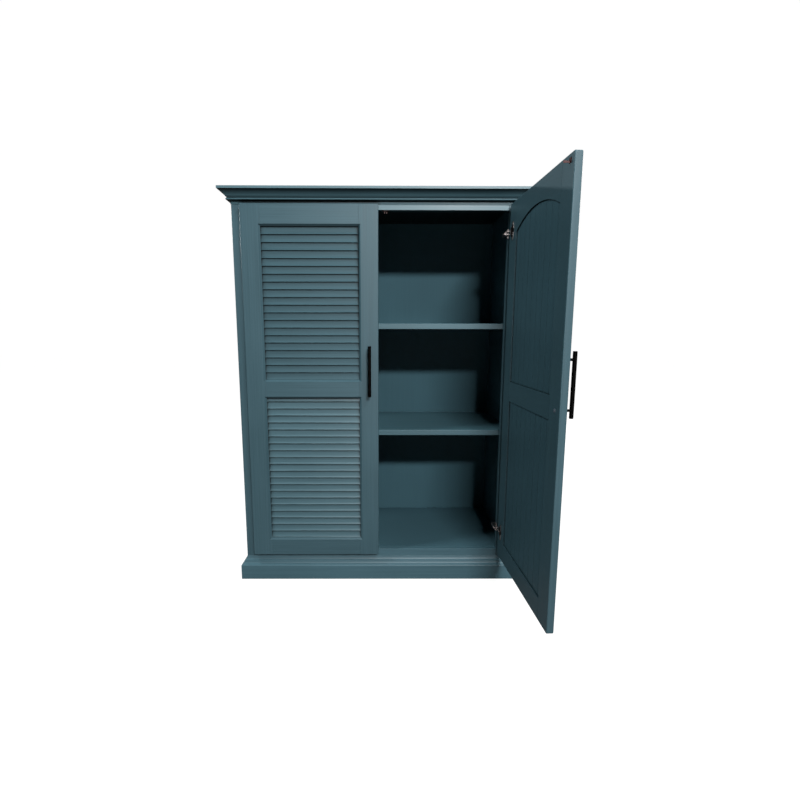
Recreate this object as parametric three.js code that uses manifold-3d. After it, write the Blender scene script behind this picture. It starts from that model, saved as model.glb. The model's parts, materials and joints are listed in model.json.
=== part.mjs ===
// Two-door louvred cabinet: a framed carcass on a moulded plinth, with a crown
// moulding, two fixed shelves and two overlay doors. Each door has two banks of
// louvre slats in front and beadboard panels, one of them arched, behind.
//
// Millimetres, +Z up. X runs across the front, Y from front to back.
// The origin is on the floor, on the centre line, at the middle of the underside
// of the front plinth board.

import * as THREE from 'three';
import { mergeVertices } from 'three/addons/utils/BufferGeometryUtils.js';
import Module from 'manifold-3d';

const wasm = await Module();
wasm.setup();

// Carcass
const cabinetWidth = 960;
const cabinetHeight = 1344.5;
const carcassDepth = 400;          // face frame's front to the back edge of the sides
const sideThickness = 18;
const topThickness = 18;
const floorThickness = 18;
const backThickness = 6;
const backRebate = 9;              // how far the back panel reaches into each side
const shelfThickness = 20;
const lowerShelfTop = 545;
const upperShelfTop = 917;
const shelfSetback = 2;            // shelf's front edge behind the face frame
const shelfArris = 1.5;
const rearRailThickness = 18;
const rearRailInset = 20;          // rear base rail in front of the sides' back edge

// Face frame
const frameThickness = 20;
const frameStileWidth = 55;
const bottomRailHeight = 50;
const bottomRailAboveDoor = 13;    // its top above the doors' lower edge
const topRailHeight = 64.5;

// Plinth board, its height and the shares of its moulded top
const plinthThickness = 18.5;
const plinthHeight = 83;
const plinthFaceHeight = 49;

// Crown moulding
const crownHeight = 48.5;
const crownProjection = 34;
const crownFascia = 8;

// Doors
const doorThickness = 20;
const sideReveal = 31.1;           // face frame seen beside each door
const doorAbovePlinth = 12;
const doorBelowCrown = 1;
const centreGap = 3;
const bumperGap = 1.5;             // door's back to the face frame
const doorCornerRadius = 5;
const doorArris = 2.5;
const stileWidth = 64.7;
const bottomRailWidth = 64.2;
const middleRailBottom = 567.5;
const middleRailWidth = 63.9;
const frontTopRailWidth = 69.5;

// Moulded edge and groove round each opening of a door
const edgeBevelWidth = 6.5;
const edgeBevelDepth = 5.7;
const grooveDepth = 8;
const grooveFront = 6;             // groove's front wall behind the door's front

// Arch of the door's upper back opening
const archRailWidth = 58.5;        // door's top rail above the arch's crown
const archRise = 39.5;

// Louvre slats
const slatCount = 20;
const slatThickness = 3;
const slatOverlap = 2;
const slatNose = 1.1;
const slatGap = 0.35;
const slatStripWidth = 6;          // hidden strip that carries the slats' ends
const lowerTopSlatShare = 0.45;    // part slat at the head of the lower bank

// Beadboard
const beadboardThickness = 3.1;
const beadSpacing = 39;
const beadFirst = 16;              // first groove from the latch stile
const beadGrooveWidth = 3.2;
const beadGrooveDepth = 1.3;

// Handle
const handleLength = 170;
const handleDiameter = 11;
const handleChamfer = 1;
const handleStandoff = 24;         // bar's centre in front of the door
const handlePostSpacing = 128;
const handlePostDiameter = 8;
const handleFromLatchEdge = 29.5;
const handleMiddle = 661;          // above the door's bottom

// Concealed hinge: its turning axis, cup, wings and arm
const axisFromHingeEdge = 5.5;
const axisBehindFront = 2.5;
const rightDoorOpening = 93;       // degrees, as it stands
const leftDoorOpening = 0;
const lowerHingeHeight = 96;       // above the door's bottom
const upperHingeDrop = 88;         // below the door's top
const cupDiameter = 35;
const cupDepth = 15;
const cupWall = 1.2;
const cupFromFrameEdge = 1.4;      // cup's centre short of the face frame's inner edge
const wingLength = 58;
const wingWidth = 12;
const wingThickness = 1.4;
const wingFromCup = 8.5;           // wings' centre line from the cup's centre
const armWidth = 12;
const armBodyHeight = 10;          // stands off the mounting plate
const armNoseHeight = 7;
const armLength = 32;              // behind the face frame's front
const armPinDiameter = 2.4;
const armPlateThickness = 2;
const swingGap = 0.3;              // door's swinging back corner to the arm's nose
const armPlateLength = 18;
const armPlateWidth = 30;

// Roller catch and its tongue
const catchFromCentre = 22;
const rollerDiameter = 4.4;
const rollerSpacing = 7.8;
const rollerLength = 7;
const rollerBehindFrame = 12;
const catchPlateThickness = 1.6;
const catchPlateWidth = 20;
const catchPlateLength = 12;
const strikeWidth = 12;
const strikeHeight = 12;
const strikeThickness = 0.9;
const tongueThickness = 1;
const tongueHeight = 5;
const tongueLength = 17;

// Clearances
const glueLine = 0.2;
const seatGap = 0.3;
const overrun = 5;

// Places that follow from the sizes above
const half = 0.5;
const frameFrontY = plinthThickness * half;
const frameBackY = frameFrontY + frameThickness;
const carcassFrontY = frameBackY + glueLine;
const carcassBackY = frameFrontY + carcassDepth;
const backPanelY = carcassBackY - backThickness;
const outerX = cabinetWidth * half;
const sideInnerX = outerX - sideThickness;
const openingX = outerX - frameStileWidth;
const boardEndX = sideInnerX - glueLine;
const topBoardBottom = cabinetHeight - topThickness;
const sideTop = topBoardBottom - glueLine;
const crownBottom = cabinetHeight - crownHeight;
const topRailBottom = cabinetHeight - topRailHeight;
const doorBottom = plinthHeight + doorAbovePlinth;
const doorHeight = crownBottom - doorBelowCrown - doorBottom;
const doorWidth = outerX - sideReveal - centreGap * half;
const bottomRailTop = doorBottom + bottomRailAboveDoor;
const floorBottom = bottomRailTop - floorThickness;
const doorBackY = frameFrontY - bumperGap;
const doorFrontY = doorBackY - doorThickness;
const hingeEdgeX = centreGap * half + doorWidth;
const axisX = hingeEdgeX - axisFromHingeEdge;
const axisY = doorFrontY + axisBehindFront;
const middleRailTop = middleRailBottom + middleRailWidth;
const frontOpeningTop = doorHeight - frontTopRailWidth;
const archSpring = doorHeight - archRailWidth - archRise;
const hingeHeights = [lowerHingeHeight, doorHeight - upperHingeDrop];
const cupCentre = frameStileWidth - sideReveal - cupFromFrameEdge;
const wingCentre = cupCentre + wingFromCup;

// The slats fix how deep a bank is, and the beadboard lies right behind it
const bankPitch = (low, high, topSlatShare) => (high - low) / (slatCount + topSlatShare);
const lowerPitch = bankPitch(bottomRailWidth, middleRailBottom, lowerTopSlatShare);
const upperPitch = bankPitch(middleRailTop, frontOpeningTop, 0);
const shortPitch = Math.min(lowerPitch, upperPitch);
const bankDepth = slatThickness + (slatThickness + slatGap) * (1 + slatOverlap / shortPitch);
const bankFront = grooveFront + seatGap;
const bankBack = bankFront + bankDepth;
const beadboardFront = bankBack + seatGap;
const beadboardBack = beadboardFront + beadboardThickness;
const grooveBack = beadboardBack + seatGap;

// The arm's nose reaches into the shut door's cup, and clears the path of the
// rounded back corner of the hinge stile, which turns about the hinge axis
const armNoseReach = bumperGap + cupDepth - cupWall - seatGap;
const cornerPath = doorArris + Math.hypot(
  axisFromHingeEdge - doorArris,
  doorThickness - axisBehindFront - doorArris,
);
const noseTipFromAxis = doorThickness - axisBehindFront + bumperGap - armNoseReach;
const noseInFromAxis = Math.sqrt((cornerPath + swingGap) ** 2 - noseTipFromAxis ** 2);
const noseIn = noseInFromAxis - (axisX - openingX) - seatGap;

// Finishes
const paintColour = 0x4c646c;
const insideColour = 0x3b5058;
const blackColour = 0x17191b;
const nickelColour = 0xb9b6b2;
const bronzeColour = 0x5a2d2a;

const finish = (color, roughness, metalness) =>
  new THREE.MeshStandardMaterial({ color, roughness, metalness });
const paint = () => finish(paintColour, 0.5, 0);
const insidePaint = () => finish(insideColour, 0.55, 0);
const blackMetal = () => finish(blackColour, 0.4, 0.6);
const nickel = () => finish(nickelColour, 0.3, 1);
const bronze = () => finish(bronzeColour, 0.4, 0.9);

// Geometry helpers
function named(name, geometry, material) {
  const mesh = new THREE.Mesh(geometry, material);
  mesh.name = name;
  return mesh;
}

function boxGeometry(low, high) {
  const size = high.map((value, axis) => value - low[axis]);
  const middle = high.map((value, axis) => (value + low[axis]) * half);
  const geometry = new THREE.BoxGeometry(...size);
  geometry.translate(...middle);
  return geometry;
}

function board(name, low, high, material) {
  const box = boxGeometry(low.map(() => 0), high.map((value, axis) => value - low[axis]));
  const mesh = named(name, box, material);
  mesh.position.set(...low);
  return mesh;
}

function outline(points) {
  const shape = new THREE.Shape();
  points.forEach(([x, y], index) => (index ? shape.lineTo(x, y) : shape.moveTo(x, y)));
  shape.closePath();
  return shape;
}

const plain = { bevelEnabled: false, curveSegments: 8 };

// The outline's x and y become the X and Y of the part
function extrudeUp(shape, bottom, top, options = {}) {
  const geometry = new THREE.ExtrudeGeometry(shape, { ...plain, ...options, depth: top - bottom });
  geometry.translate(0, 0, bottom);
  return geometry;
}

// The outline's x and y become the Y and Z of the part
function extrudeAcross(shape, left, right) {
  const geometry = new THREE.ExtrudeGeometry(shape, { ...plain, depth: right - left });
  const turn = new THREE.Matrix4().makeBasis(
    new THREE.Vector3(0, 1, 0),
    new THREE.Vector3(0, 0, 1),
    new THREE.Vector3(1, 0, 0),
  );
  geometry.applyMatrix4(turn);
  geometry.translate(left, 0, 0);
  return geometry;
}

// The outline's x and y become the X and Z of the part
function extrudeBack(shape, front, back, options = {}) {
  const depth = back - front;
  const geometry = new THREE.ExtrudeGeometry(shape, { ...plain, ...options, depth });
  const turn = new THREE.Matrix4().makeBasis(
    new THREE.Vector3(1, 0, 0),
    new THREE.Vector3(0, 0, 1),
    new THREE.Vector3(0, -1, 0),
  );
  geometry.applyMatrix4(turn);
  geometry.translate(0, back, 0);
  return geometry;
}

// A cylinder along Y or Z
function cylinder(radius, start, end, axis, sides) {
  const geometry = new THREE.CylinderGeometry(radius, radius, end - start, sides);
  if (axis === 'z') geometry.rotateX(Math.PI * half);
  const middle = (start + end) * half;
  geometry.translate(0, axis === 'y' ? middle : 0, axis === 'z' ? middle : 0);
  return geometry;
}

function solid(geometry) {
  const bare = geometry.clone();
  bare.deleteAttribute('normal');
  bare.deleteAttribute('uv');
  const merged = mergeVertices(bare);
  return new wasm.Manifold(new wasm.Mesh({
    numProp: 3,
    vertProperties: merged.attributes.position.array,
    triVerts: new Uint32Array(merged.index.array),
  }));
}

function geometryOf(manifold) {
  const mesh = manifold.getMesh();
  const geometry = new THREE.BufferGeometry();
  geometry.setAttribute('position', new THREE.BufferAttribute(mesh.vertProperties, 3));
  geometry.setIndex(new THREE.BufferAttribute(mesh.triVerts, 1));
  geometry.computeVertexNormals();
  return geometry;
}

const joined = (first, ...others) => others.reduce((sum, next) => sum.add(next), first);
const cut = (first, ...cutters) => cutters.reduce((rest, next) => rest.subtract(next), first);

// Carcass boards
function sidePanel(name, sign) {
  const inner = sideInnerX * sign;
  const outer = outerX * sign;
  const rebated = inner + backRebate * sign;
  const section = outline([
    [outer, carcassFrontY],
    [outer, carcassBackY],
    [rebated, carcassBackY],
    [rebated, backPanelY - seatGap],
    [inner, backPanelY - seatGap],
    [inner, carcassFrontY],
  ]);
  return named(name, extrudeUp(section, 0, sideTop), paint());
}

function shelf(name, top) {
  const front = carcassFrontY + shelfSetback;
  const back = backPanelY - seatGap;
  const bottom = top - shelfThickness;
  const section = outline([
    [front + shelfArris, bottom],
    [back, bottom],
    [back, top],
    [front + shelfArris, top],
    [front, top - shelfArris],
    [front, bottom + shelfArris],
  ]);
  return named(name, extrudeAcross(section, -boardEndX, boardEndX), insidePaint());
}

function carcass() {
  const group = new THREE.Group();
  const floorBackY = backPanelY - seatGap;
  const backX = sideInnerX + backRebate - seatGap;
  const rearRailBack = carcassBackY - rearRailInset;
  group.add(
    sidePanel('left_side', -1),
    sidePanel('right_side', 1),
    board('top_board', [-outerX, carcassFrontY, topBoardBottom],
      [outerX, carcassBackY, cabinetHeight], paint()),
    board('floor_board', [-boardEndX, carcassFrontY, floorBottom],
      [boardEndX, floorBackY, bottomRailTop], insidePaint()),
    board('back_panel', [-backX, backPanelY, floorBottom], [backX, carcassBackY, sideTop],
      insidePaint()),
    board('rear_base_rail', [-boardEndX, rearRailBack - rearRailThickness, 0],
      [boardEndX, rearRailBack, floorBottom - glueLine], paint()),
    shelf('lower_shelf', lowerShelfTop),
    shelf('upper_shelf', upperShelfTop),
  );
  return group;
}

// Face frame: two stiles to the floor, with a top and a bottom rail between them
function faceFrame() {
  const group = new THREE.Group();
  const railX = openingX - glueLine;
  group.add(
    board('left_frame_stile', [-outerX, frameFrontY, 0],
      [-openingX, frameBackY, cabinetHeight], paint()),
    board('right_frame_stile', [openingX, frameFrontY, 0],
      [outerX, frameBackY, cabinetHeight], paint()),
    board('frame_top_rail', [-railX, frameFrontY, topRailBottom],
      [railX, frameBackY, cabinetHeight], paint()),
    board('frame_bottom_rail', [-railX, frameFrontY, bottomRailTop - bottomRailHeight],
      [railX, frameBackY, bottomRailTop], paint()),
  );
  return group;
}

// Moulding outlines: x is how far a point stands out, y its height
function plinthOutline() {
  const shape = new THREE.Shape();
  const face = plinthThickness;
  const rise = plinthHeight - plinthFaceHeight;
  const at = (outShare, riseShare) => [face * outShare, plinthFaceHeight + rise * riseShare];
  shape.moveTo(0, 0);
  shape.lineTo(face, 0);
  shape.lineTo(face, plinthFaceHeight);
  shape.quadraticCurveTo(...at(1, 0.14), ...at(0.84, 0.16));
  shape.lineTo(...at(0.72, 0.21));
  shape.quadraticCurveTo(...at(0.48, 0.26), ...at(0.44, 0.52));
  shape.lineTo(...at(0.3, 0.57));
  shape.quadraticCurveTo(...at(0.06, 0.62), ...at(0, 1));
  shape.closePath();
  return shape;
}

function crownOutline() {
  const shape = new THREE.Shape();
  const rise = crownHeight - crownFascia;
  const at = (outShare, riseShare) => [crownProjection * outShare, rise * riseShare];
  shape.moveTo(0, 0);
  shape.lineTo(...at(0.03, 0));
  shape.lineTo(...at(0.03, 0.21));
  shape.lineTo(...at(0.27, 0.27));
  shape.quadraticCurveTo(...at(0.39, 0.29), ...at(0.38, 0.37));
  shape.lineTo(...at(0.35, 0.42));
  shape.lineTo(...at(0.29, 0.43));
  shape.lineTo(...at(0.3, 0.47));
  shape.lineTo(...at(0.41, 0.57));
  shape.quadraticCurveTo(...at(0.55, 0.83), ...at(0.9, 0.97));
  shape.lineTo(crownProjection, rise);
  shape.lineTo(crownProjection, crownHeight);
  shape.lineTo(0, crownHeight);
  shape.closePath();
  return shape;
}

// A moulding along X with its back at y = 0, standing out towards -Y.
// The ends marked true run out at 45 degrees, to meet the next length.
function moulding(shape, left, right, mitreLeft, mitreRight) {
  const geometry = extrudeAcross(shape, left, right);
  const position = geometry.attributes.position;
  const middle = (left + right) * half;
  for (let i = 0; i < position.count; i += 1) {
    const x = position.getX(i);
    const out = position.getY(i);
    const mitred = x < middle ? mitreLeft : mitreRight;
    const shift = mitred ? out * Math.sign(x - middle) : 0;
    position.setXYZ(i, x + shift, -out, position.getZ(i));
  }
  // Turning y over turns the faces inside out, so each triangle is turned back
  const flipped = mergeVertices(geometry);
  const index = flipped.index.array;
  for (let i = 0; i < index.length; i += 3) {
    [index[i], index[i + 1]] = [index[i + 1], index[i]];
  }
  flipped.computeVertexNormals();
  return flipped;
}

function mouldingSet(names, shape, bottom) {
  const group = new THREE.Group();
  const mitreGap = glueLine;
  const front = named(names.front, moulding(shape, -outerX, outerX, true, true), paint());
  front.position.set(0, frameFrontY - glueLine, bottom);
  group.add(front);
  const sideLength = carcassDepth + glueLine - mitreGap;
  [[names.left, -1], [names.right, 1]].forEach(([name, sign]) => {
    const turned = sign > 0;
    const length = turned
      ? moulding(shape, 0, sideLength, true, false)
      : moulding(shape, -sideLength, 0, false, true);
    const mesh = named(name, length, paint());
    mesh.rotation.z = Math.PI * half * sign;
    mesh.position.set((outerX + glueLine) * sign, frameFrontY + mitreGap - glueLine, bottom);
    group.add(mesh);
  });
  return group;
}

// Doors. hand is 1 for the right door and -1 for the left one, and s is the
// distance from the door's hinge edge. Heights are above the door's bottom.
const across = (hand, s) => hand * (hingeEdgeX - s);

function doorBox(hand, s0, s1, y0, y1, z0, z1) {
  const ends = [across(hand, s0), across(hand, s1)];
  return boxGeometry(
    [Math.min(...ends), doorFrontY + y0, doorBottom + z0],
    [Math.max(...ends), doorFrontY + y1, doorBottom + z1],
  );
}

// The whole door's body, with its corners and arrises rounded
function doorSlab(hand) {
  const inset = doorArris;
  const near = across(hand, inset);
  const far = across(hand, doorWidth - inset);
  const left = Math.min(near, far);
  const right = Math.max(near, far);
  const low = doorBottom + inset;
  const high = doorBottom + doorHeight - inset;
  const radius = doorCornerRadius - inset;
  const shape = new THREE.Shape();
  shape.moveTo(left + radius, low);
  shape.lineTo(right - radius, low);
  shape.absarc(right - radius, low + radius, radius, -Math.PI * half, 0);
  shape.lineTo(right, high - radius);
  shape.absarc(right - radius, high - radius, radius, 0, Math.PI * half);
  shape.lineTo(left + radius, high);
  shape.absarc(left + radius, high - radius, radius, Math.PI * half, Math.PI);
  shape.lineTo(left, low + radius);
  shape.absarc(left + radius, low + radius, radius, Math.PI, Math.PI * 1.5);
  return extrudeBack(shape, doorFrontY + inset, doorBackY - inset, {
    bevelEnabled: true,
    bevelSize: inset,
    bevelThickness: inset,
    bevelSegments: 3,
    curveSegments: 3,
  });
}

// A box that widens towards the front by the bevel's width on every side
function bevelCutter(hand, z0, z1) {
  const geometry = doorBox(hand, stileWidth, doorWidth - stileWidth,
    -edgeBevelDepth, edgeBevelDepth, z0, z1);
  const position = geometry.attributes.position;
  const middleX = across(hand, doorWidth * half);
  const middleZ = doorBottom + (z0 + z1) * half;
  const flare = edgeBevelWidth * 2;
  for (let i = 0; i < position.count; i += 1) {
    const ahead = position.getY(i) < doorFrontY;
    const dx = ahead ? Math.sign(position.getX(i) - middleX) * flare : 0;
    const dz = ahead ? Math.sign(position.getZ(i) - middleZ) * flare : 0;
    position.setX(i, position.getX(i) + dx);
    position.setZ(i, position.getZ(i) + dz);
  }
  return geometry;
}

// The upper back opening: straight sides and a segmental arch
function archShape(hand) {
  const left = Math.min(across(hand, stileWidth), across(hand, doorWidth - stileWidth));
  const right = left + doorWidth - stileWidth * 2;
  const chord = (right - left) * half;
  const radius = (chord * chord + archRise * archRise) * half / archRise;
  const spring = doorBottom + archSpring;
  const centreZ = spring + archRise - radius;
  const centreX = (left + right) * half;
  const angle = Math.atan2(spring - centreZ, chord);
  const shape = new THREE.Shape();
  shape.moveTo(left, doorBottom + middleRailTop);
  shape.lineTo(right, doorBottom + middleRailTop);
  shape.lineTo(right, spring);
  shape.absarc(centreX, centreZ, radius, angle, Math.PI - angle);
  shape.closePath();
  return shape;
}

// What is taken from the stiles and rails round both openings
function doorCutters(hand) {
  const far = doorWidth - stileWidth;
  const openings = [
    { low: bottomRailWidth, high: middleRailBottom },
    { low: middleRailTop, high: frontOpeningTop },
  ];
  const grooves = [
    [openings[0].low, openings[0].high],
    [openings[1].low, archSpring + archRise],
  ];
  const cutters = openings.map(({ low, high }) => solid(bevelCutter(hand, low, high)));
  grooves.forEach(([low, high]) => {
    cutters.push(solid(doorBox(hand, stileWidth - grooveDepth, far + grooveDepth,
      grooveFront, grooveBack, low - grooveDepth, high + grooveDepth)));
  });
  openings.forEach(({ low, high }) => {
    cutters.push(solid(doorBox(hand, stileWidth, far, -overrun, grooveFront + overrun,
      low, high)));
  });
  cutters.push(solid(doorBox(hand, stileWidth, far, grooveFront + overrun,
    doorThickness + overrun, openings[0].low, openings[0].high)));
  cutters.push(solid(extrudeBack(archShape(hand), doorFrontY + grooveFront + overrun,
    doorBackY + overrun, { curveSegments: 24 })));
  return cutters;
}

function cupBore(hand, height) {
  const radius = cupDiameter * half + seatGap;
  const bore = cylinder(radius, doorBackY - cupDepth - seatGap, doorBackY + overrun, 'y', 32);
  bore.translate(across(hand, cupCentre), 0, doorBottom + height);
  return solid(bore);
}

function doorFrame(side, hand) {
  const slab = solid(doorSlab(hand));
  const cutters = doorCutters(hand);
  const deep = doorThickness + overrun;
  const far = doorWidth - stileWidth;
  const rail0 = stileWidth + glueLine;
  const rail1 = far - glueLine;
  const blocks = [
    ['hinge_stile', -overrun, stileWidth, -overrun, doorHeight + overrun],
    ['latch_stile', far, doorWidth + overrun, -overrun, doorHeight + overrun],
    ['bottom_rail', rail0, rail1, -overrun, bottomRailWidth],
    ['middle_rail', rail0, rail1, middleRailBottom, middleRailTop],
    ['top_rail', rail0, rail1, archSpring, doorHeight + overrun],
  ];
  return blocks.map(([name, s0, s1, z0, z1]) => {
    const block = solid(doorBox(hand, s0, s1, -overrun, deep, z0, z1));
    const bores = name === 'hinge_stile' ? hingeHeights.map((z) => cupBore(hand, z)) : [];
    const piece = cut(slab.intersect(block), ...cutters, ...bores);
    return named(`${side}_door_${name}`, geometryOf(piece), paint());
  });
}

// One slat's section, x towards the back and y up, from its nose at the origin
function slatOutline(length, lean) {
  const foot = slatThickness;
  const shape = new THREE.Shape();
  shape.moveTo(0, slatNose);
  shape.quadraticCurveTo(0, 0, slatNose, 0);
  shape.lineTo(foot, 0);
  shape.lineTo(foot + lean * length, length);
  shape.lineTo(lean * length, length);
  shape.closePath();
  return shape;
}

// A bank of slats between two strips that sit in the stiles' grooves
function louvreBank(name, hand, low, high, topSlatShare) {
  const clear = seatGap;
  const near = stileWidth - grooveDepth + clear;
  const far = doorWidth - near;
  const pitch = bankPitch(low, high, topSlatShare);
  const lean = (slatThickness + slatGap) / pitch;
  const ends = [across(hand, near), across(hand, far)];
  const left = Math.min(...ends);
  const right = Math.max(...ends);
  const total = slatCount + Math.ceil(topSlatShare);
  const slats = Array.from({ length: total }, (unused, index) => {
    const nose = low + index * pitch;
    const reach = Math.min(pitch + slatOverlap, high + grooveDepth - clear - nose);
    const section = extrudeAcross(slatOutline(reach, lean), left, right);
    section.translate(0, doorFrontY + bankFront, doorBottom + nose);
    return solid(section);
  });
  const strips = [near, far - slatStripWidth].map((s) => solid(
    doorBox(hand, s, s + slatStripWidth, bankFront, bankBack, low, high),
  ));
  return named(name, geometryOf(joined(...strips, ...slats)), paint());
}

// Beadboard: one sheet with upright V grooves in its back
function beadboard(name, hand, low, high) {
  const clear = seatGap;
  const near = stileWidth - grooveDepth + clear;
  const far = doorWidth - near;
  const back = doorFrontY + beadboardBack;
  const front = doorFrontY + beadboardFront;
  const points = [[across(hand, near), front], [across(hand, far), front],
    [across(hand, far), back]];
  for (let s = far - grooveDepth + clear - beadFirst; s > near + grooveDepth; s -= beadSpacing) {
    points.push([across(hand, s + beadGrooveWidth * half), back]);
    points.push([across(hand, s), back - beadGrooveDepth]);
    points.push([across(hand, s - beadGrooveWidth * half), back]);
  }
  points.push([across(hand, near), back]);
  const sheet = extrudeUp(outline(points), doorBottom + low - grooveDepth + clear,
    doorBottom + high + grooveDepth - clear);
  return named(name, sheet, paint());
}

// Straight bar on two posts, each hollowed at its end to fit the bar
function handle(side, hand) {
  const s = doorWidth - handleFromLatchEdge;
  const x = across(hand, s);
  const z = doorBottom + handleMiddle;
  const barY = doorFrontY - handleStandoff;
  const radius = handleDiameter * half;
  const reach = handleLength * half;
  const barProfile = [
    [0, -reach],
    [radius - handleChamfer, -reach],
    [radius, -reach + handleChamfer],
    [radius, reach - handleChamfer],
    [radius - handleChamfer, reach],
    [0, reach],
  ].map((point) => new THREE.Vector2(...point));
  const barGeometry = new THREE.LatheGeometry(barProfile, 24);
  barGeometry.rotateX(Math.PI * half);
  const bar = named(`${side}_handle_bar`, barGeometry, blackMetal());
  bar.position.set(x, barY, z);
  const hollow = solid(cylinder(radius + seatGap, -reach, reach, 'z', 24));
  const posts = [['lower', -1], ['upper', 1]].map(([place, sign]) => {
    const post = solid(cylinder(handlePostDiameter * half, 0, handleStandoff - seatGap, 'y', 16));
    const mesh = named(`${side}_handle_${place}_post`, geometryOf(cut(post, hollow)), blackMetal());
    mesh.position.set(x, barY, z + handlePostSpacing * half * sign);
    return mesh;
  });
  return [bar, ...posts];
}

// Hinge cup with its two wings, let into the door's back
function hingeCup(name, hand, height) {
  const radius = cupDiameter * half;
  const x = across(hand, cupCentre);
  const z = doorBottom + height;
  const shell = solid(cylinder(radius, doorBackY - cupDepth, doorBackY - seatGap, 'y', 32));
  const hollow = solid(cylinder(radius - cupWall, doorBackY - cupDepth + cupWall,
    doorBackY + overrun, 'y', 32));
  const centre = across(hand, wingCentre) - x;
  const wing = new THREE.Shape();
  const halfWidth = wingWidth * half;
  const halfLength = wingLength * half;
  const tip = halfWidth;
  wing.moveTo(centre - halfWidth, -halfLength + tip);
  wing.absarc(centre, -halfLength + tip, halfWidth, Math.PI, Math.PI * 2);
  wing.lineTo(centre + halfWidth, halfLength - tip);
  wing.absarc(centre, halfLength - tip, halfWidth, 0, Math.PI);
  wing.closePath();
  const wings = solid(extrudeBack(wing, doorBackY + seatGap, doorBackY + seatGap + wingThickness));
  const rim = solid(cylinder(radius - cupWall * half, doorBackY - cupWall,
    doorBackY + seatGap + wingThickness, 'y', 32));
  const beyondFrame = solid(boxGeometry(
    [centre - halfWidth, doorBackY - cupDepth, -radius],
    [centre + halfWidth, doorBackY + seatGap + wingThickness, radius],
  ));
  const body = cut(joined(shell, wings, rim.intersect(beyondFrame)), hollow);
  const mesh = named(name, geometryOf(body), nickel());
  mesh.position.set(x, 0, z);
  return mesh;
}

// Hinge arm on the face frame's inner edge. Its nose enters the cup of the shut door.
function hingeArm(name, hand, height) {
  const toward = -hand;
  const edge = openingX * hand + toward * seatGap;
  const at = (inward, behind) => [edge + toward * inward, frameFrontY + behind];
  const base = armPlateThickness;
  const section = outline([
    at(0, -seatGap),
    at(0, armPlateLength),
    at(base, armPlateLength),
    at(base, armLength - armBodyHeight * half),
    at(base + armBodyHeight * half, armLength),
    at(base + armBodyHeight, armLength),
    at(base + armBodyHeight, bumperGap),
    at(base + armNoseHeight, -armNoseReach * half),
    at(base + armNoseHeight, -armNoseReach),
    at(noseIn, -armNoseReach),
    at(noseIn, -seatGap),
  ]);
  const body = solid(extrudeUp(section, -armWidth * half, armWidth * half));
  const plateEnds = [edge, edge + toward * base];
  const plate = solid(boxGeometry(
    [Math.min(...plateEnds), frameFrontY + seatGap * 2, -armPlateWidth * half],
    [Math.max(...plateEnds), frameFrontY + armPlateLength, armPlateWidth * half],
  ));
  const slot = solid(boxGeometry(
    [-outerX, frameFrontY - armNoseReach - overrun, -armWidth * half + base],
    [outerX, frameFrontY - seatGap, armWidth * half - base],
  ));
  const pin = cylinder(armPinDiameter * half, base * half - armWidth * half, armWidth * half - base * half,
    'z', 12);
  const pinPlace = at((noseIn + base + armNoseHeight) * half, armPinDiameter * 2 - armNoseReach);
  pin.translate(...pinPlace, 0);
  const mesh = named(name, geometryOf(joined(cut(body, slot), plate, solid(pin))), nickel());
  mesh.position.z = doorBottom + height;
  return mesh;
}

// Twin rollers on a plate under the face frame's top rail
function rollerCatch(name, hand) {
  const x = catchFromCentre * hand;
  const y = frameFrontY + rollerBehindFrame;
  const top = topRailBottom - seatGap;
  const plate = solid(boxGeometry(
    [x - catchPlateWidth * half, y - catchPlateLength * half, top - catchPlateThickness],
    [x + catchPlateWidth * half, y + catchPlateLength * half, top],
  ));
  const rollers = [-1, 1].map((sign) => {
    const roller = cylinder(rollerDiameter * half, top - catchPlateThickness - rollerLength,
      top - catchPlateThickness * half, 'z', 16);
    roller.translate(x + rollerSpacing * half * sign, y, 0);
    return solid(roller);
  });
  return named(name, geometryOf(joined(plate, ...rollers)), nickel());
}

// Strike on the door's back, with a flat tongue that goes between the rollers
function catchStrike(side, hand) {
  const x = catchFromCentre * hand;
  const face = doorBackY + seatGap;
  const tongueZ = topRailBottom - catchPlateThickness - rollerLength * half;
  const bottom = tongueZ - tongueHeight * half;
  const plate = solid(boxGeometry(
    [x - strikeWidth * half, face, bottom],
    [x + strikeWidth * half, face + strikeThickness, bottom + strikeHeight],
  ));
  const tongue = solid(boxGeometry(
    [x - tongueThickness * half, face, bottom],
    [x + tongueThickness * half, face + tongueLength, bottom + tongueHeight],
  ));
  return named(`${side}_catch_strike`, geometryOf(joined(plate, tongue)), bronze());
}

function door(side, hand, opening) {
  const turning = new THREE.Group();
  turning.position.set(axisX * hand, axisY, 0);
  turning.rotation.z = THREE.MathUtils.degToRad(opening) * hand;
  const closed = new THREE.Group();
  closed.position.set(-axisX * hand, -axisY, 0);
  turning.add(closed);
  closed.add(
    ...doorFrame(side, hand),
    louvreBank(`${side}_door_lower_louvres`, hand, bottomRailWidth, middleRailBottom,
      lowerTopSlatShare),
    louvreBank(`${side}_door_upper_louvres`, hand, middleRailTop, frontOpeningTop, 0),
    beadboard(`${side}_door_lower_beadboard`, hand, bottomRailWidth, middleRailBottom),
    beadboard(`${side}_door_upper_beadboard`, hand, middleRailTop, archSpring + archRise),
    ...handle(side, hand),
    catchStrike(side, hand),
    ...['lower', 'upper'].map((place, index) => hingeCup(
      `${side}_${place}_hinge_cup`, hand, hingeHeights[index],
    )),
  );
  return turning;
}

function frameHardware(side, hand) {
  const group = new THREE.Group();
  group.add(
    rollerCatch(`${side}_roller_catch`, hand),
    ...['lower', 'upper'].map((place, index) => hingeArm(
      `${side}_${place}_hinge_arm`, hand, hingeHeights[index],
    )),
  );
  return group;
}

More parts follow.
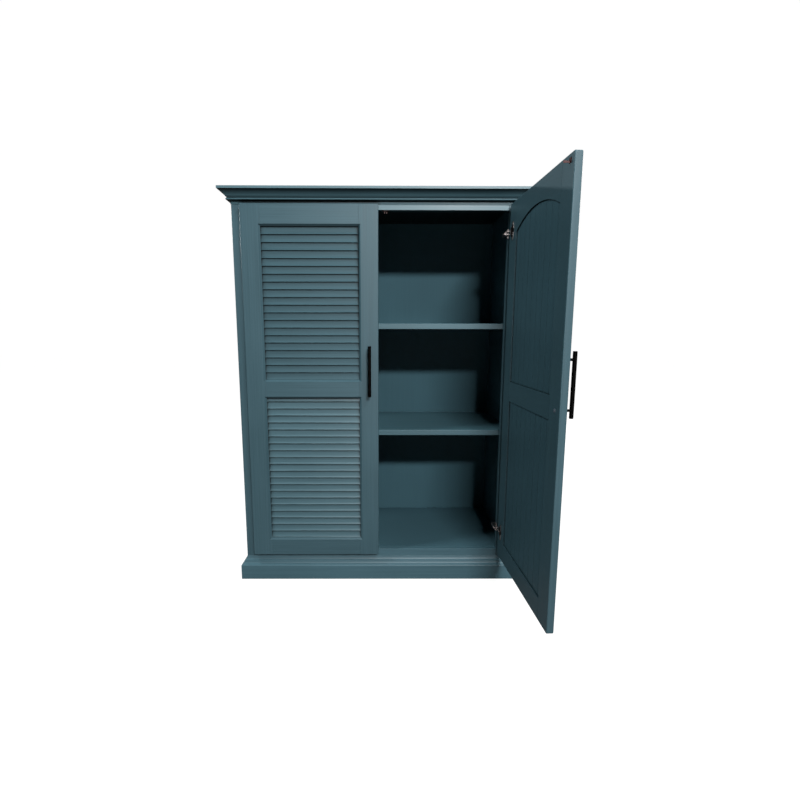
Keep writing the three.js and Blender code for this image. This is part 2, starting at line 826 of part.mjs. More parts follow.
const cabinet = new THREE.Group();
cabinet.add(
  carcass(),
  faceFrame(),
  mouldingSet({ front: 'front_plinth', left: 'left_plinth', right: 'right_plinth' },
    plinthOutline(), 0),
  mouldingSet({ front: 'front_crown', left: 'left_crown', right: 'right_crown' },
    crownOutline(), crownBottom),
  frameHardware('left', -1),
  frameHardware('right', 1),
  door('left', -1, leftDoorOpening),
  door('right', 1, rightDoorOpening),
);

export default cabinet;
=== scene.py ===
import json
import math
import random

import bmesh
import bpy
from mathutils import Matrix, Vector


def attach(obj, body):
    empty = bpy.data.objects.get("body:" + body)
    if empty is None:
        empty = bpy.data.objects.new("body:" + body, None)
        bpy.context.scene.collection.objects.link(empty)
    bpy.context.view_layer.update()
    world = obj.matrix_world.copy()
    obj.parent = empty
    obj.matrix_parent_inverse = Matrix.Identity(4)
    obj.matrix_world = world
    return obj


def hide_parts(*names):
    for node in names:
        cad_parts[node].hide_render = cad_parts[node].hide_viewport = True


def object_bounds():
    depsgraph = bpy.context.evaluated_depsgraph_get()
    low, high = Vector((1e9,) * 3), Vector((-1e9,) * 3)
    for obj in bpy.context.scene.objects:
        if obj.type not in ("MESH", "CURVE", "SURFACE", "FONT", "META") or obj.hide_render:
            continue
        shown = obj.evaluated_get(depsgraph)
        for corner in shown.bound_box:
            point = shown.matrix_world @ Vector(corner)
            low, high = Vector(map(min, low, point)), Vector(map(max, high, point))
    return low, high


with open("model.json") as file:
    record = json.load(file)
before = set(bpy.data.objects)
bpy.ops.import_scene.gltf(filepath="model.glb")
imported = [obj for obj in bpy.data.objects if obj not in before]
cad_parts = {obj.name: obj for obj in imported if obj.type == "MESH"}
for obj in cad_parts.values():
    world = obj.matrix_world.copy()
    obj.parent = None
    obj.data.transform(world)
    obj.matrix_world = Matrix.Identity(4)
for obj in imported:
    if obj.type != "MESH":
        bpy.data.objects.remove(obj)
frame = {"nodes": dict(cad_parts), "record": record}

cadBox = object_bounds()
scene = bpy.context.scene
nodes = frame["nodes"]
turnOpen = math.radians(93)   # how far the right door stands open

print("frame loaded:", len(nodes), "nodes")


# Camera, as the photograph was taken
camera = {
    "place": (0.0221, -1.5487, 0.8847),
    "pitch": 8.716,
    "yaw": 0.265,
    "roll": 0.10,
    "lens": 20.466,
    "shift": (0.0156, 0.0033),
}


def addCamera():
    data = bpy.data.cameras.new("camera")
    data.sensor_width = 36
    data.lens = camera["lens"]
    data.shift_x, data.shift_y = camera["shift"]
    data.clip_start = 0.05
    data.clip_end = 60
    shot = bpy.data.objects.new("camera", data)
    scene.collection.objects.link(shot)
    tilt = Matrix.Rotation(math.radians(90 - camera["pitch"]), 4, "X")
    turn = Matrix.Rotation(math.radians(-camera["yaw"]), 4, "Z")
    lean = Matrix.Rotation(math.radians(camera["roll"]), 4, "Z")
    shot.matrix_world = Matrix.Translation(camera["place"]) @ turn @ tilt @ lean
    scene.camera = shot


addCamera()


# Light: a long lamp high in front, to the right, one nearly overhead for the upper
# edges, a tall one that only shines in the paint, a high one on the left for the open
# door's back, a small one behind that passes over the top, one behind on the right for
# the sides that the photograph doesn't show, and the room
light = {
    "keyPlace": (1.0, -4.2, 2.95),
    "keyAim": (0.1, 0.0, 0.65),
    "keySize": (1.1, 0.25),
    "keyPower": 206,
    "topPlace": (1.05, -1.6, 2.8),
    "topAim": (0.15, 0.0, 0.5),
    "topSize": (0.9, 0.3),
    "topPower": 34,
    "tallPlace": (0.50, -3.0, 0.80),
    "tallAim": (0.15, 0.0, 0.65),
    "tallSize": (0.3, 1.4),
    "tallPower": 22,
    "fillPlace": (-1.7, -0.5, 3.0),
    "fillSize": (0.4, 0.3),
    "fillPower": 44,
    "backPlace": (-2.4, 1.2, 1.725),
    "backSize": (0.03, 0.03),
    "backPower": 34,
    "doorAim": (0.45, -0.3, 0.9),
    "rearPlace": (2.8, 2.6, 2.2),
    "rearAim": (0.1, 0.2, 0.7),
    "rearSize": (1.4, 1.4),
    "rearPower": 100,
    "room": 0.005,
    "mirrored": 0.12,
}


# A lamp lights all, or only the "gloss", or only the "paint" under it
def addLamp(name, place, aim, size, power, lights="all"):
    data = bpy.data.lights.new(name, "AREA")
    data.shape = "RECTANGLE"
    data.size, data.size_y = size
    data.energy = power
    lamp = bpy.data.objects.new(name, data)
    lamp.visible_camera = False
    lamp.visible_diffuse = lights != "gloss"
    lamp.visible_glossy = lights != "paint"
    scene.collection.objects.link(lamp)
    lamp.location = place
    lamp.rotation_euler = (Vector(aim) - Vector(place)).to_track_quat("-Z", "Y").to_euler()


# White to the camera, dim in reflections and nearly dark as a light
def addRoom():
    world = bpy.data.worlds.new("room")
    scene.world = world
    world.use_nodes = True
    tree = world.node_tree
    tree.nodes.clear()
    air = tree.nodes.new("ShaderNodeBackground")
    air.inputs["Color"].default_value = (1, 1, 1, 1)
    ray = tree.nodes.new("ShaderNodeLightPath")
    strength = None
    for kind, share in (("Is Camera Ray", 1.0), ("Is Transmission Ray", 1.0),
                        ("Is Glossy Ray", light["mirrored"])):
        part = tree.nodes.new("ShaderNodeMath")
        part.operation = "MULTIPLY_ADD"
        part.inputs[1].default_value = share
        part.inputs[2].default_value = light["room"]
        tree.links.new(ray.outputs[kind], part.inputs[0])
        if strength:
            tree.links.new(strength, part.inputs[2])
        strength = part.outputs[0]
    out = tree.nodes.new("ShaderNodeOutputWorld")
    tree.links.new(strength, air.inputs["Strength"])
    tree.links.new(air.outputs[0], out.inputs["Surface"])


addLamp("key", light["keyPlace"], light["keyAim"], light["keySize"], light["keyPower"])
addLamp("top", light["topPlace"], light["topAim"], light["topSize"], light["topPower"])
addLamp("tall", light["tallPlace"], light["tallAim"], light["tallSize"], light["tallPower"], "gloss")
addLamp("fill", light["fillPlace"], light["doorAim"], light["fillSize"], light["fillPower"], "paint")
addLamp("back", light["backPlace"], light["doorAim"], light["backSize"], light["backPower"])
addLamp("rear", light["rearPlace"], light["rearAim"], light["rearSize"], light["rearPower"])
addRoom()
scene.view_settings.view_transform = "Standard"


# Floor: white where lit, with the cabinet's shadow on it
floor = {"half": 14.0, "colour": (0.18, 0.18, 0.18, 1), "nearGlow": 0.92, "farGlow": 1.0,
         "near": 1.3, "far": 3.0}


def addFloor():
    bm = bmesh.new()
    bmesh.ops.create_grid(bm, x_segments=2, y_segments=2, size=floor["half"])
    mesh = bpy.data.meshes.new("floor")
    bm.to_mesh(mesh)
    bm.free()
    ground = bpy.data.objects.new("floor", mesh)
    scene.collection.objects.link(ground)
    material = bpy.data.materials.new("paleFloor")
    material.use_nodes = True
    tree = material.node_tree
    tree.nodes.clear()
    flat = tree.nodes.new("ShaderNodeBsdfDiffuse")
    flat.inputs["Color"].default_value = floor["colour"]
    glow = tree.nodes.new("ShaderNodeEmission")
    glow.inputs["Color"].default_value = (1, 1, 1, 1)
    ray = tree.nodes.new("ShaderNodeLightPath")
    strength = tree.nodes.new("ShaderNodeMath")
    strength.operation = "MULTIPLY"
    coords = tree.nodes.new("ShaderNodeTexCoord")
    reach = tree.nodes.new("ShaderNodeVectorMath")
    reach.operation = "LENGTH"
    fade = tree.nodes.new("ShaderNodeMapRange")
    fade.inputs["From Min"].default_value = floor["near"]
    fade.inputs["From Max"].default_value = floor["far"]
    fade.inputs["To Min"].default_value = floor["nearGlow"]
    fade.inputs["To Max"].default_value = floor["farGlow"]
    both = tree.nodes.new("ShaderNodeAddShader")
    out = tree.nodes.new("ShaderNodeOutputMaterial")
    link = tree.links.new
    link(coords.outputs["Object"], reach.inputs[0])
    link(reach.outputs["Value"], fade.inputs["Value"])
    link(ray.outputs["Is Camera Ray"], strength.inputs[0])
    link(fade.outputs["Result"], strength.inputs[1])
    link(strength.outputs[0], glow.inputs["Strength"])
    link(flat.outputs[0], both.inputs[0])
    link(glow.outputs[0], both.inputs[1])
    link(both.outputs[0], out.inputs["Surface"])
    mesh.materials.append(material)


addFloor()
print("camera, light and floor made")


# Materials
# Lengths of the grain along and across a board, in metres
grain = {"long": 0.32, "wide": 0.0042}
# "crevice" holds how open a point must be to be darkened with painted shade, and to be left as it is,
# and "reach" how far it looks; the share of paler edges is partly rubbed paint and partly a painted
# highlight, most of all on the lower slats' noses, and "edge" is how wide they are; "streaks" is how
# dark and how light the grain gets
usualPaint = {"reach": 0.016, "edge": 0.0012, "streaks": (0.89, 1.08)}
# Tones of the one teal paint, set by how the lamps fall: the crown, base, shelf and interior paints are
# lighter and the rail and lower slat paints lighter still, painted light; the upper slats' paint is a
# little darker, painted shade
paints = {
    "cabinet_paint": {"colour": (0.0430, 0.0930, 0.1150, 1), "rough": 0.46, "gleam": 0.32,
                      "relief": 0.32, "crevice": ((0.15, 0.40), (0.45, 1.0)), "wearAndHighlight": 0.10},
    "crown_paint": {"colour": (0.0570, 0.1240, 0.1510, 1), "rough": 0.46, "gleam": 0.18,
                    "relief": 0.20, "crevice": ((0.54, 0.08), (0.92, 1.0)), "wearAndHighlight": 0.20},
    "bead_paint": {"colour": (0.0430, 0.0960, 0.1200, 1), "rough": 0.46, "gleam": 0.25,
                   "relief": 0.20, "crevice": ((0.45, 0.05), (0.95, 1.0)), "wearAndHighlight": 0.20,
                   "reach": 0.006},
    "interior_paint": {"colour": (0.0500, 0.1090, 0.1350, 1), "rough": 0.50, "gleam": 0.02,
                       "relief": 0.07, "crevice": ((0.15, 0.40), (0.45, 1.0)), "wearAndHighlight": 0.2,
                       "streaks": (0.96, 1.03)},
    "shelf_paint": {"colour": (0.0520, 0.1180, 0.1450, 1), "rough": 0.44, "gleam": 0.35,
                    "relief": 0.12, "crevice": ((0.15, 0.40), (0.45, 1.0)), "wearAndHighlight": 0.35},
    "base_paint": {"colour": (0.0540, 0.1200, 0.1490, 1), "rough": 0.46, "gleam": 0.40,
                   "relief": 0.24, "crevice": ((0.15, 0.40), (0.45, 1.0)), "wearAndHighlight": 0.35},
    "slat_paint": {"colour": (0.0410, 0.0900, 0.1110, 1), "rough": 0.54, "gleam": 0.20,
                   "relief": 0.12, "crevice": ((0.52, 0.08), (0.92, 1.0)), "wearAndHighlight": 0.60},
    "low_slat_paint": {"colour": (0.0630, 0.1300, 0.1570, 1), "rough": 0.40, "gleam": 0.34,
                       "relief": 0.12, "crevice": ((0.60, 0.08), (0.95, 1.0)), "wearAndHighlight": 1.0,
                       "edge": 0.0024},
    "rail_paint": {"colour": (0.0730, 0.1500, 0.1790, 1), "rough": 0.48, "gleam": 0.50,
                   "relief": 0.42, "crevice": ((0.15, 0.60), (0.35, 1.0)), "wearAndHighlight": 0.35},
}
# Colour of the paler edges: rubbed paint, and a painted highlight on the slats' noses
wearAndHighlightColour = (0.150, 0.230, 0.255, 1)


def addNode(tree, kind, settings=None, values=None):
    made = tree.nodes.new(kind)
    for key, value in (settings or {}).items():
        setattr(made, key, value)
    for key, value in (values or {}).items():
        made.inputs[key].default_value = value
    return made


def mapRange(tree, source, lows, highs):
    made = addNode(tree, "ShaderNodeMapRange", None, {
        "From Min": lows[0], "From Max": highs[0], "To Min": lows[1], "To Max": highs[1]})
    tree.links.new(source, made.inputs["Value"])
    return made.outputs["Result"]


def noise(tree, vector, scale, detail, roughness):
    made = addNode(tree, "ShaderNodeTexNoise", {"noise_dimensions": "3D"}, {
        "Scale": scale, "Detail": detail, "Roughness": roughness})
    tree.links.new(vector, made.inputs["Vector"])
    return made.outputs["Fac"]


def multiply(tree, first, second):
    made = addNode(tree, "ShaderNodeMath", {"operation": "MULTIPLY"})
    for source, socket in zip((first, second), made.inputs):
        if isinstance(source, float):
            socket.default_value = source
        else:
            tree.links.new(source, socket)
    return made.outputs[0]


# Object coordinates, moved a little for each object so that no two boards match
def pieceCoordinates(tree):
    coords = addNode(tree, "ShaderNodeTexCoord")
    info = addNode(tree, "ShaderNodeObjectInfo")
    shift = multiply(tree, info.outputs["Random"], 7.0)
    moved = addNode(tree, "ShaderNodeVectorMath", {"operation": "ADD"})
    tree.links.new(coords.outputs["Object"], moved.inputs[0])
    tree.links.new(shift, moved.inputs[1])
    return moved.outputs[0]


# How near a point is to a sharp edge, 1 right on it
def edgeShare(tree, radius):
    rounded = addNode(tree, "ShaderNodeBevel", {"samples": 4}, {"Radius": radius})
    flat = addNode(tree, "ShaderNodeNewGeometry")
    dot = addNode(tree, "ShaderNodeVectorMath", {"operation": "DOT_PRODUCT"})
    tree.links.new(rounded.outputs[0], dot.inputs[0])
    tree.links.new(flat.outputs["Normal"], dot.inputs[1])
    return mapRange(tree, dot.outputs["Value"], (0.80, 1.0), (0.995, 0.0))


# Painted shade: 1 in the open, less in a crevice and on faces that look down, where shade falls
def paintedShadeShare(tree, reach, crevice):
    around = addNode(tree, "ShaderNodeAmbientOcclusion", {"samples": 6, "only_local": False}, {
        "Distance": reach})
    geometry = addNode(tree, "ShaderNodeNewGeometry")
    parts = addNode(tree, "ShaderNodeSeparateXYZ")
    tree.links.new(geometry.outputs["Normal"], parts.inputs[0])
    return multiply(tree, mapRange(tree, around.outputs["AO"], *crevice),
                    mapRange(tree, parts.outputs["Z"], (-1.0, 0.10), (-0.40, 1.0)))


def startMaterial(name):
    material = bpy.data.materials.new(name)
    material.use_nodes = True
    tree = material.node_tree
    return material, tree, tree.nodes["Principled BSDF"]


# Satin paint over a board, its grain along x, y or z, or along the open door
def paintMaterial(name, settings, along):
    look = {**usualPaint, **settings}
    material, tree, shader = startMaterial(name)
    where = pieceCoordinates(tree)
    sizes = [grain["wide"]] * 3
    sizes["xyz".index(along if along != "turned" else "x")] = grain["long"]
    turn = turnOpen if along == "turned" else 0
    stretched = addNode(tree, "ShaderNodeMapping", {"vector_type": "TEXTURE"}, {
        "Rotation": (0, 0, turn), "Scale": sizes})
    tree.links.new(where, stretched.inputs["Vector"])
    fibre = noise(tree, stretched.outputs[0], 1.0, 5, 0.62)
    mottle = noise(tree, where, 3.2, 2, 0.5)
    peel = noise(tree, where, 520, 2, 0.5)
    edge = multiply(tree, edgeShare(tree, look["edge"]), mapRange(
        tree, noise(tree, where, 26, 3, 0.6), (0.36, 0.0), (0.60, 1.0)))

    darkest, lightest = look["streaks"]
    shade = multiply(tree, mapRange(tree, fibre, (0.3, darkest), (0.7, lightest)),
                     mapRange(tree, mottle, (0.3, 0.94), (0.7, 1.06)))
    # Painted shade: the colour darkens in crevices and on faces that look down
    paintedShade = paintedShadeShare(tree, look["reach"], look["crevice"])
    shade = multiply(tree, shade, paintedShade)
    tone = addNode(tree, "ShaderNodeHueSaturation", None, {"Color": look["colour"]})
    tree.links.new(shade, tone.inputs["Value"])
    # Paler edges: rubbed paint, and on the lower slats' noses a painted highlight
    paleEdge = addNode(tree, "ShaderNodeMix", {"data_type": "RGBA"})
    paleEdge.inputs[7].default_value = wearAndHighlightColour
    tree.links.new(multiply(tree, edge, look["wearAndHighlight"]), paleEdge.inputs[0])
    tree.links.new(tone.outputs[0], paleEdge.inputs[6])
    tree.links.new(paleEdge.outputs[2], shader.inputs["Base Color"])
    shader.inputs["Specular IOR Level"].default_value = look["gleam"]

    uneven = addNode(tree, "ShaderNodeMath", {"operation": "ADD"})
    tree.links.new(mapRange(tree, fibre, (0.3, look["rough"] - 0.05),
                            (0.7, look["rough"] + 0.05)), uneven.inputs[0])
    tree.links.new(mapRange(tree, mottle, (0.3, -0.03), (0.7, 0.03)), uneven.inputs[1])
    tree.links.new(uneven.outputs[0], shader.inputs["Roughness"])

    height = addNode(tree, "ShaderNodeMath", {"operation": "MULTIPLY_ADD"}, {1: 0.16})
    tree.links.new(peel, height.inputs[0])
    tree.links.new(fibre, height.inputs[2])
    bump = addNode(tree, "ShaderNodeBump", None, {
        "Strength": look["relief"], "Distance": 0.0006})
    tree.links.new(height.outputs[0], bump.inputs["Height"])
    tree.links.new(bump.outputs[0], shader.inputs["Normal"])
    return material


# Plated or powder coated metal: small uneven spots, worn paler at its edges
metalEdge = 0.0006
metals = {
    "black_metal": {"colour": (0.0012, 0.0011, 0.0010, 1), "paleEdge": (0.016, 0.014, 0.013, 1),
                    "metallic": 0.0, "gleam": 0.03, "rough": 0.42, "relief": 0.22, "spots": 900},
    "hinge_nickel": {"colour": (0.400, 0.360, 0.350, 1), "paleEdge": (0.620, 0.570, 0.550, 1),
                     "metallic": 1.0, "gleam": 0.5, "rough": 0.38, "relief": 0.06, "spots": 340},
    "catch_metal": {"colour": (0.100, 0.066, 0.062, 1), "paleEdge": (0.330, 0.260, 0.240, 1),
                    "metallic": 0.9, "gleam": 0.5, "rough": 0.5, "relief": 0.08, "spots": 380},
    "strike_bronze": {"colour": (0.034, 0.009, 0.009, 1), "paleEdge": (0.120, 0.045, 0.038, 1),
                      "metallic": 0.45, "gleam": 0.4, "rough": 0.42, "relief": 0.08, "spots": 420},
    "screw_zinc": {"colour": (0.130, 0.170, 0.210, 1), "paleEdge": (0.300, 0.340, 0.380, 1),
                   "metallic": 0.3, "gleam": 0.5, "rough": 0.42, "relief": 0.06, "spots": 380},
}


def metalMaterial(name, look):
    material, tree, shader = startMaterial(name)
    where = pieceCoordinates(tree)
    spots = noise(tree, where, look["spots"], 3, 0.55)
    cloud = noise(tree, where, 60, 3, 0.6)
    edge = multiply(tree, edgeShare(tree, metalEdge),
                    mapRange(tree, cloud, (0.35, 0.2), (0.65, 1.0)))
    tone = addNode(tree, "ShaderNodeHueSaturation", None, {"Color": look["colour"]})
    tree.links.new(mapRange(tree, cloud, (0.3, 0.86), (0.7, 1.12)), tone.inputs["Value"])
    paleEdge = addNode(tree, "ShaderNodeMix", {"data_type": "RGBA"})
    paleEdge.inputs[7].default_value = look["paleEdge"]
    tree.links.new(multiply(tree, edge, 0.7), paleEdge.inputs[0])
    tree.links.new(tone.outputs[0], paleEdge.inputs[6])
    tree.links.new(paleEdge.outputs[2], shader.inputs["Base Color"])
    shader.inputs["Metallic"].default_value = look["metallic"]
    shader.inputs["Specular IOR Level"].default_value = look["gleam"]
    tree.links.new(mapRange(tree, cloud, (0.3, look["rough"] - 0.06), (0.7, look["rough"] + 0.08)),
                   shader.inputs["Roughness"])
    bump = addNode(tree, "ShaderNodeBump", None, {
        "Strength": look["relief"], "Distance": 0.0002})
    tree.links.new(spots, bump.inputs["Height"])
    tree.links.new(bump.outputs[0], shader.inputs["Normal"])
    return material


materials = {}
for slotName, look in paints.items():
    for along in ("x", "y", "z", "turned"):
        materials[slotName, along] = paintMaterial(slotName + "_" + along, look, along)
for slotName, look in metals.items():
    materials[slotName, ""] = metalMaterial(slotName, look)

# Grain and paint of each painted board, by the words in its name
uprightWords = ("side", "stile", "panel", "beadboard")
sideBoards = ("left_plinth", "right_plinth", "left_crown", "right_crown")
paintWords = {"crown": "crown_paint", "frame_top_rail": "rail_paint", "frame_bottom_rail": "base_paint",
              "plinth": "base_paint", "floor_board": "interior_paint", "shelf": "shelf_paint",
              "beadboard": "bead_paint", "lower_louvres": "low_slat_paint",
              "upper_louvres": "slat_paint"}
slotOf = {part["node"]: part["material_slot"] for part in frame["record"]["subparts"]}


def materialOf(name):
    slotName = slotOf[name]
    if "roller_catch" in name:
        return materials["catch_metal", ""]
    if slotName in metals:
        return materials[slotName, ""]
    along = "turned" if name.startswith("right_door") else "x"
    if name in sideBoards:
        along = "y"
    if any(word in name for word in uprightWords):
        along = "z"
    paint = next((paint for word, paint in paintWords.items() if word in name), slotName)
    return materials[paint, along]


for name, piece in nodes.items():
    piece.data.materials.clear()
    piece.data.materials.append(materialOf(name))
print("materials made:", len(materials))


# Pieces
mm = 0.001
bodyOf = {name: body for body, names in frame["record"]["behaviour"]["bodies"].items()
          for name in names}
door = {"width": 447.4, "bottom": 95, "front": -12.25, "back": 7.75,
        "hingeEdge": 448.9, "axisX": 443.4, "axisY": -9.75}
hands = {"left": -1, "right": 1}


def finishPiece(name, bm, body, material, replaced=()):
    bmesh.ops.recalc_face_normals(bm, faces=bm.faces)
    mesh = bpy.data.meshes.new(name)
    bm.to_mesh(mesh)
    bm.free()
    mesh.shade_smooth()
    mesh.set_sharp_from_angle(angle=math.radians(32))
    mesh.materials.append(material)
    piece = bpy.data.objects.new(name, mesh)
    scene.collection.objects.link(piece)
    flatten = piece.modifiers.new("flatten", "WEIGHTED_NORMAL")
    flatten.keep_sharp = True
    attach(piece, body)
    if replaced:
        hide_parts(*replaced)
    return piece


# A point of a shut door: across from its hinge edge, back and up, in millimetres
def onDoor(hand, across, back, up):
    return Vector((hand * (door["hingeEdge"] - across), back, door["bottom"] + up)) * mm


# Turns what was made on the shut right door to where that door stands
def openDoor(bm, hand):
    if hand > 0:
        axis = Vector((door["axisX"], door["axisY"], 0)) * mm
        bmesh.ops.rotate(bm, verts=bm.verts, cent=axis,
                         matrix=Matrix.Rotation(turnOpen, 3, "Z"))


# A packed board with its triangles joined up into whole faces
def wholeFaces(name):
    bm = bmesh.new()
    bm.from_mesh(nodes[name].data)
    bmesh.ops.remove_doubles(bm, verts=bm.verts, dist=0.000002)
    bmesh.ops.dissolve_limit(bm, angle_limit=math.radians(0.4), verts=bm.verts, edges=bm.edges)
    return bm


def softenEdges(bm, width, sharpFrom=40):
    sharp = [edge for edge in bm.edges if edge.is_manifold
             and edge.calc_face_angle(0) > math.radians(sharpFrom)]
    bmesh.ops.bevel(bm, geom=sharp, offset=width, offset_type="OFFSET", affect="EDGES",
                    segments=3, profile=0.5, material=-1, clamp_overlap=True)


# Boards, mouldings and beadboards. The crown's upright top edge is paler than the rest of it, and the
# frame's top rail is paler but for its upper faces: a painted highlight.
arris = {"paint": 0.5, "metal": 0.15}
crownEdgeHeight = 8
levelFrom = 0.5


# A second paint for the faces that the test picks
def repaint(piece, paint, along, isPicked):
    piece.data.materials.append(materials[paint, along])
    for face in piece.data.polygons:
        face.material_index = int(isPicked(face))


def isUpper(face):
    return face.normal.z > levelFrom


def isCrownEdge(face):
    edgeFrom = cadBox[1][2] - crownEdgeHeight * mm
    return abs(face.normal.z) < levelFrom and face.center.z > edgeFrom


for name in sorted(nodes):
    if slotOf[name] in paints and "louvres" not in name:
        bm = wholeFaces(name)
        softenEdges(bm, arris["paint"] * mm)
        piece = finishPiece("soft_" + name, bm, bodyOf[name], materialOf(name),
                            [name])
        if name == "frame_top_rail":
            repaint(piece, "cabinet_paint", "x", isUpper)
        if "crown" in name:
            repaint(piece, "rail_paint", "y" if name in sideBoards else "x", isCrownEdge)
print("boards softened")


# Louvre slats, each flared to a round nose and set a little unevenly
louvre = {
    "lower": (64.2, 567.5, 0.45),
    "upper": (631.4, 1130.5, 0),
    "count": 20,
    "thickness": 3.0,
    "thick": 2.0,
    "gap": 0.35,
    "overlap": 2.0,
    "front": 6.3,
    "near": 57.0,
    "headSpace": 7.7,
    "headGap": 0.6,
    "nose": [(1.0, 0.0), (0.45, 0.15), (0.12, 0.5), (0.0, 0.95), (0.1, 1.5)],
    "flareHeight": 4.8,
    "flareDepth": 2.3,
    "flareShares": (0.78, 1.12),
    "stations": 10,
    "unevenUp": 0.30,
    "unevenTilt": 0.35,
    "unevenBack": 0.12,
    "lowest": -0.6,
    "seed": 7,
}


# Section of a slat, as distances back and up from its nose
def slatSection(reach, head, flare):
    depth = louvre["flareDepth"] * flare
    height = louvre["flareHeight"]
    thick = louvre["thick"]
    return louvre["nose"] + [
        (depth * 0.5, height * 0.58), (depth * 0.9, height), (depth * 1.15, height * 1.5),
        (head - 0.7, reach * 0.6), (head, reach), (head + thick, reach),
        (depth * 1.15 + thick, height * 1.5), (thick, 0.0),
    ]


def addSlat(bm, hand, nose, reach, head, chance):
    flare = chance.uniform(*louvre["flareShares"])
    lift = chance.uniform(-1, 1) * louvre["unevenUp"]
    tilt = chance.uniform(-1, 1) * louvre["unevenTilt"]
    behind = chance.uniform(0.0, louvre["unevenBack"])
    section = slatSection(reach, head, flare)
    far = door["width"] - louvre["near"]
    rings = []
    for station in range(louvre["stations"] + 1):
        share = station / louvre["stations"]
        across = louvre["near"] + (far - louvre["near"]) * share
        up = nose + max(lift + tilt * (share - 0.5) * 2, louvre["lowest"])
        rings.append([bm.verts.new(onDoor(hand, across, door["front"] + louvre["front"]
                                          + behind + y, up + z)) for y, z in section])
    for first, second in zip(rings, rings[1:]):
        for index in range(len(section)):
            after = (index + 1) % len(section)
            bm.faces.new((first[index], first[after], second[after], second[index]))
    bm.faces.new(rings[0])
    bm.faces.new(rings[-1])


def addLouvres(side, band):
    low, high, topShare = louvre[band]
    pitch = (high - low) / (louvre["count"] + topShare)
    head = ((louvre["thickness"] + louvre["gap"]) * (1 + louvre["overlap"] / pitch)
            + louvre["thickness"] - louvre["thick"])
    chance = random.Random(louvre["seed"] + hands[side] * 3 + len(band) * topShare)
    bm = bmesh.new()
    for index in range(louvre["count"] + math.ceil(topShare)):
        nose = low + index * pitch
        reach = min(pitch + louvre["overlap"],
                    high + louvre["headSpace"] - nose - louvre["headGap"])
        addSlat(bm, hands[side], nose, reach, head, chance)
    openDoor(bm, hands[side])
    node = side + "_door_" + band + "_louvres"
    finishPiece("slats_" + side + "_" + band, bm, bodyOf[node],
                materialOf(node), [node])


for side in hands:
    for band in ("lower", "upper"):
        addLouvres(side, band)
print("louvres made")


screwSides = 32


# Screw head with a cross recess
def addScrew(bm, centre, outward, radius, height):
    outward = Vector(outward).normalized()
    first = outward.orthogonal().normalized()
    second = outward.cross(first)
    sides = screwSides
    wide = [1.0] * sides
    star = [0.52 if index % 8 in (7, 0, 1) else 0.17 for index in range(sides)]
    levels = [(wide, 1.0, 0.0), (wide, 1.0, 0.35), (wide, 0.87, 0.78), (wide, 0.62, 1.0),
              (star, 1.0, 1.0), (star, 0.8, 0.4)]
    rings = []
    for shares, size, rise in levels:
        ring = []
        for index, share in enumerate(shares):
            angle = math.tau * index / sides
            spoke = first * math.cos(angle) + second * math.sin(angle)
            ring.append(bm.verts.new(centre + spoke * share * size * radius * mm
                                     + outward * rise * height * mm))
        rings.append(ring)
    for lower, upper in zip(rings, rings[1:]):
        for index in range(sides):
            after = (index + 1) % sides
            bm.faces.new((lower[index], lower[after], upper[after], upper[index]))
    bm.faces.new(rings[0])
    bm.faces.new(rings[-1])


# Handles: a round bar on two posts that swell a little at both ends, and the head of
# the screw that shows behind the lower post
handle = {"fromLatch": 29.5, "middle": 661, "standoff": 24, "radius": 5.5, "half": 85,
          "postRadius": 4, "postFromMiddle": 64, "postInBar": 3, "round": 1.1,
          "screwRadius": 5.2, "screwHeight": 2.1}


# Spins a profile of (radius, distance along the axis) pairs about its axis
def addTurned(bm, centre, axis, profile, steps=40):
    axis = Vector(axis).normalized()
    side = axis.orthogonal().normalized()
    ring = [bm.verts.new(centre + side * radius * mm + axis * along * mm)
            for radius, along in profile]
    edges = [bm.edges.new(pair) for pair in zip(ring, ring[1:])]
    bmesh.ops.spin(bm, geom=ring + edges, cent=centre, axis=axis, dvec=(0, 0, 0),
                   angle=math.tau, steps=steps, use_merge=True)
    bmesh.ops.remove_doubles(bm, verts=bm.verts, dist=0.000001)


def addHandle(side):
    hand = hands[side]
    across = door["width"] - handle["fromLatch"]
    barY = door["front"] - handle["standoff"]
    radius, half, bend = handle["radius"], handle["half"], handle["round"]
    bar = onDoor(hand, across, barY, handle["middle"])
    bm = bmesh.new()
    profile = [(0, -half), (radius - bend, -half), (radius - bend * 0.3, -half + bend * 0.3),
               (radius, -half + bend)]
    profile += [(reach, -along) for reach, along in reversed(profile)]
    addTurned(bm, bar, (0, 0, 1), profile)
    openDoor(bm, hand)
    node = side + "_handle_bar"
    finishPiece("bar_" + side, bm, bodyOf[node], materialOf(node), [node])
    for place, sign in (("lower", -1), ("upper", 1)):
        foot = onDoor(hand, across, door["front"], handle["middle"]
                      + handle["postFromMiddle"] * sign)
        wide = handle["postRadius"]
        reach = handle["standoff"] - handle["postInBar"]
        bm = bmesh.new()
        addTurned(bm, foot, (0, -1, 0), [
            (0, 0), (wide, 0), (wide, 0.8), (wide * 0.9, 2.4), (wide * 0.86, reach * 0.5),
            (wide * 0.9, reach - 3), (wide * 0.97, reach), (0, reach)], 28)
        openDoor(bm, hand)
        node = side + "_handle_" + place + "_post"
        finishPiece("post_" + side + "_" + place, bm, bodyOf[node],
                    materialOf(node), [node])
    bm = bmesh.new()
    addScrew(bm, onDoor(hand, across, door["back"], handle["middle"]
                        - handle["postFromMiddle"]), (0, 1, 0),
             handle["screwRadius"], handle["screwHeight"])
    openDoor(bm, hand)
    finishPiece("handle_screw_" + side, bm, side + "_door",
                materials["screw_zinc", ""])


for side in hands:
    addHandle(side)
print("handles made")
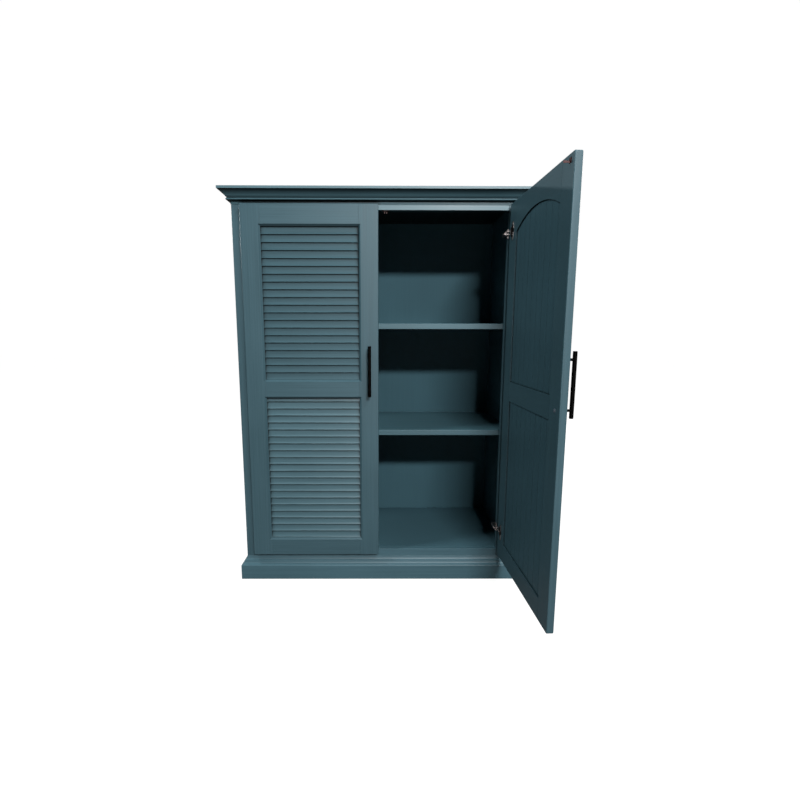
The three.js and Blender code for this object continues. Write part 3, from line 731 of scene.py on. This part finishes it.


# Hinges with the screws that hold them, and catches and strikes
fittings = {
    "hingeHeights": {"lower": 96, "upper": 1112},
    "wingFromEdge": 31.0,
    "wingScrewFromMiddle": 22.5,
    "cupPlateBack": 1.7,
    "frameEdge": 425.0,
    "frameFront": 9.25,
    "armPlateFace": 2.3,
    "armScrewRadius": 2.4,
    "armScrewFromMiddle": 11.0,
    "armScrewBehind": 10.5,
    "armTop": 12.3,
    "armTopScrewsBehind": (9.0, 21.0),
    "screwRadius": 2.9,
    "screwHeight": 1.1,
}


def addFitting(node, screws):
    bm = wholeFaces(node)
    softenEdges(bm, arris["metal"] * mm)
    finishPiece("soft_" + node, bm, bodyOf[node], materialOf(node), [node])
    if not screws:
        return
    bm = bmesh.new()
    for centre, outward, radius in screws:
        addScrew(bm, centre, outward, radius, fittings["screwHeight"])
    if bodyOf[node] != "cabinet":
        openDoor(bm, hands[node.split("_")[0]])
    finishPiece("screws_" + node, bm, bodyOf[node],
                materials["hinge_nickel", ""])


for side, hand in hands.items():
    radius = fittings["screwRadius"]
    for place, height in fittings["hingeHeights"].items():
        wingScrews = [(onDoor(hand, fittings["wingFromEdge"], door["back"]
                              + fittings["cupPlateBack"], height + sign
                              * fittings["wingScrewFromMiddle"]), (0, 1, 0), radius)
                      for sign in (-1, 1)]
        addFitting(side + "_" + place + "_hinge_cup", wingScrews)
        level = (door["bottom"] + height) * mm
        plate = hand * (fittings["frameEdge"] - fittings["armPlateFace"]) * mm
        top = hand * (fittings["frameEdge"] - fittings["armTop"]) * mm
        front = fittings["frameFront"]
        armScrews = [(Vector((plate, (front + fittings["armScrewBehind"]) * mm, level
                              + sign * fittings["armScrewFromMiddle"] * mm)), (-hand, 0, 0),
                      fittings["armScrewRadius"])
                     for sign in (-1, 1)]
        armScrews += [(Vector((top, (front + behind) * mm, level)), (-hand, 0, 0), radius)
                      for behind in fittings["armTopScrewsBehind"]]
        addFitting(side + "_" + place + "_hinge_arm", armScrews)
    addFitting(side + "_roller_catch", [])
    addFitting(side + "_catch_strike", [])
print("fittings made")
